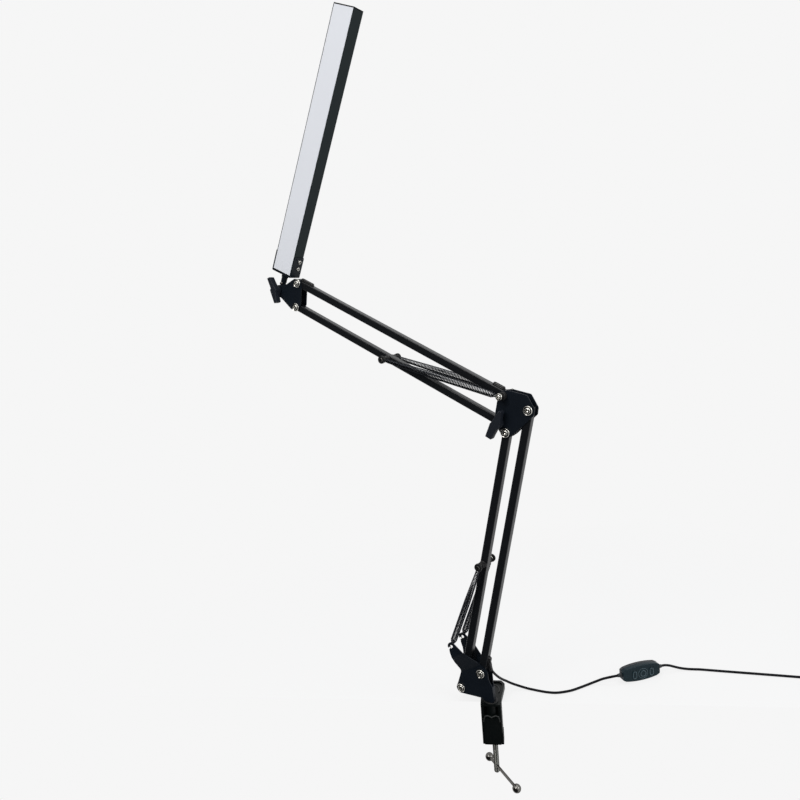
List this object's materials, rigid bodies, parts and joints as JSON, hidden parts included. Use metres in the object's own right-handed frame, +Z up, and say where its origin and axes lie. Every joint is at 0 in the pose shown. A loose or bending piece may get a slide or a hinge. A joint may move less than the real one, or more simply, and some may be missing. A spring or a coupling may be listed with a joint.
{
  "type": "clamp lamp",
  "caption": "Clamp-on desk lamp: a long light bar on a spring-balanced twin-link arm with wing knobs, a screw clamp, and a cord with an inline dimmer controller.",
  "frame": {"origin": "centre of the seat, the flat underside of the clamp's upper jaw, above the clamp screw; the tabletop's upper face is z = 0", "axes": "+Z up; +Y from the tabletop's edge into the table, along the jaw; +X along the table's edge"},
  "size_m": [0.7941, 0.1937, 1.0862],
  "materials": {
    "clamp_black": "satin black powder coat",
    "plate_black": "satin black powder coat",
    "tube_black": "satin black paint",
    "bar_black": "black anodised",
    "nickel": "bright nickel plate",
    "dark_nickel": "dark nickel plate",
    "spring_steel": "dark spring steel",
    "screw_steel": "plain zinc",
    "pad_steel": "dark zinc",
    "nylon": "matte black nylon",
    "knob_plastic": "moulded black plastic",
    "rubber_black": "soft black rubber",
    "cord_black": "black cord jacket",
    "diffuser_white": "opal satin",
    "board_white": "white lacquered board",
    "board_green": "green lacquered board",
    "shell_dark": "glossy dark plastic",
    "shell_matte": "matte dark plastic",
    "button_grey": "satin grey plastic"
  },
  "bodies": {
    "clamp": {"clamp_body": "clamp_black", "socket_bush": "nylon"},
    "pad": {"clamp_pad": "pad_steel"},
    "screw": {"clamp_screw": "screw_steel"},
    "tommy": {"tommy_bar": "dark_nickel"},
    "base": {"base_stem": "plate_black", "base_plate_front": "plate_black", "base_plate_rear": "plate_black", "base_pivot_right": "nickel", "base_pivot_left": "nickel", "cord_near": "cord_black", "controller_base": "shell_matte", "controller_board": "board_green", "controller_top": "shell_dark", "cord_far": "cord_black", "cord_coil": "cord_black", "usb_plug": "shell_matte", "usb_shell": "nickel"},
    "lower_arm": {"lower_tube_right": "tube_black", "lower_lead": "cord_black", "lower_grommet": "rubber_black"},
    "lower_link": {"lower_tube_left": "tube_black", "lower_spring_pin": "dark_nickel", "lower_spools": "nylon", "lower_spring_front": "spring_steel", "lower_spring_rear": "spring_steel"},
    "elbow": {"elbow_plate_front": "plate_black", "elbow_plate_rear": "plate_black", "elbow_pivot_right": "nickel", "elbow_pivot_left": "nickel", "spring_bolt": "nickel", "spring_spacers": "nylon", "elbow_knob_bolt": "nickel"},
    "elbow_knob": {"elbow_knob": "knob_plastic"},
    "upper_arm": {"upper_tube_top": "tube_black", "upper_lead": "cord_black", "upper_grommet_elbow": "rubber_black", "upper_grommet_head": "rubber_black"},
    "upper_link": {"upper_tube_low": "tube_black", "upper_spring_pin": "dark_nickel", "upper_spools": "nylon", "upper_spring_front": "spring_steel", "upper_spring_rear": "spring_steel"},
    "head": {"head_plate_front": "plate_black", "head_plate_rear": "plate_black", "head_pivot_top": "nickel", "head_pivot_low": "nickel", "head_knob_bolt": "nickel"},
    "head_knob": {"head_knob": "knob_plastic"},
    "knuckle": {"knuckle": "plate_black"},
    "light_bar": {"bar_bracket": "plate_black", "bar_screws": "nickel", "bar_housing": "bar_black", "diffuser": "diffuser_white", "led_board": "board_white", "bar_end_caps": "nylon"},
    "power_button": {"button_power": "button_grey"},
    "less_button": {"button_less": "button_grey"},
    "more_button": {"button_more": "button_grey"}
  },
  "joints": [
    {"name": "screw_feed", "type": "slide", "parent": "clamp", "child": "pad", "axis": [0, 0, 1], "range_m": [-0.002, 0.029]},
    {"name": "screw_turn", "type": "hinge", "parent": "pad", "child": "screw", "pos_m": [0, 0, -0.06], "axis": [0, 0, 1], "range_deg": [-570, 8340]},
    {"name": "tommy_slide", "type": "slide", "parent": "screw", "child": "tommy", "axis": [0.515, -0.8572, 0], "range_m": [-0.0448, 0.0108]},
    {"name": "base_swivel", "type": "hinge", "parent": "clamp", "child": "base", "pos_m": [0, -0.028, 0], "axis": [0, 0, 1], "range_deg": [-150, 150]},
    {"name": "lower_arm_tilt", "type": "hinge", "parent": "base", "child": "lower_arm", "pos_m": [-0.00861, -0.02398, 0.048], "axis": [0.4226, 0.9063, 0], "range_deg": [-50, 14], "deforming": ["cord_near"]},
    {"name": "lower_link_tilt", "type": "hinge", "parent": "base", "child": "lower_link", "pos_m": [-0.03807, -0.01025, 0.0191], "axis": [0.4226, 0.9063, 0], "range_deg": [-50, 14], "deforming": ["lower_spring_front", "lower_spring_rear"]},
    {"name": "elbow_level", "type": "hinge", "parent": "lower_arm", "child": "elbow", "pos_m": [0.07529, -0.06311, 0.41655], "axis": [0.4226, 0.9063, 0], "range_deg": [-14, 50]},
    {"name": "elbow_knob_turn", "type": "hinge", "parent": "elbow", "child": "elbow_knob", "pos_m": [0.03913, -0.04625, 0.39995], "axis": [0.4226, 0.9063, 0], "continuous": true},
    {"name": "upper_arm_tilt", "type": "hinge", "parent": "elbow", "child": "upper_arm", "pos_m": [0.04575, -0.04933, 0.43505], "axis": [0.4226, 0.9063, 0], "range_deg": [-60, 45]},
    {"name": "upper_link_tilt", "type": "hinge", "parent": "elbow", "child": "upper_link", "pos_m": [0.03913, -0.04625, 0.39995], "axis": [0.4226, 0.9063, 0], "range_deg": [-60, 45], "deforming": ["upper_spring_front", "upper_spring_rear"]},
    {"name": "head_level", "type": "hinge", "parent": "upper_arm", "child": "head", "pos_m": [-0.25197, 0.0895, 0.60533], "axis": [0.4226, 0.9063, 0], "range_deg": [-45, 60]},
    {"name": "head_knob_turn", "type": "hinge", "parent": "head", "child": "head_knob", "pos_m": [-0.28822, 0.1064, 0.59883], "axis": [0.4226, 0.9063, 0], "continuous": true},
    {"name": "head_tilt", "type": "hinge", "parent": "head", "child": "knuckle", "pos_m": [-0.28822, 0.1064, 0.59883], "axis": [0.4226, 0.9063, 0], "range_deg": [-140, 4]},
    {"name": "bar_swivel", "type": "hinge", "parent": "knuckle", "child": "light_bar", "pos_m": [-0.28822, 0.1064, 0.59883], "axis": [0.3945, -0.1839, 0.9003], "range_deg": [-90, 90]},
    {"name": "power_press", "type": "slide", "parent": "base", "child": "power_button", "axis": [-0.3987, 0.9171, 0], "range_m": [0, 0.0008], "stiffness_N_per_m": 600, "springref_m": -0.0005},
    {"name": "less_press", "type": "slide", "parent": "base", "child": "less_button", "axis": [-0.3987, 0.9171, 0], "range_m": [0, 0.0008], "stiffness_N_per_m": 600, "springref_m": -0.0005},
    {"name": "more_press", "type": "slide", "parent": "base", "child": "more_button", "axis": [-0.3987, 0.9171, 0], "range_m": [0, 0.0008], "stiffness_N_per_m": 600, "springref_m": -0.0005}
  ],
  "couplings": [
    {"joint": "screw_feed", "follows": "screw_turn", "m_per_rad": 0.00019894},
    {"joint": "lower_link_tilt", "follows": "lower_arm_tilt", "ratio": 1},
    {"joint": "elbow_level", "follows": "lower_arm_tilt", "ratio": -1},
    {"joint": "upper_link_tilt", "follows": "upper_arm_tilt", "ratio": 1},
    {"joint": "head_level", "follows": "upper_arm_tilt", "ratio": -1}
  ]
}
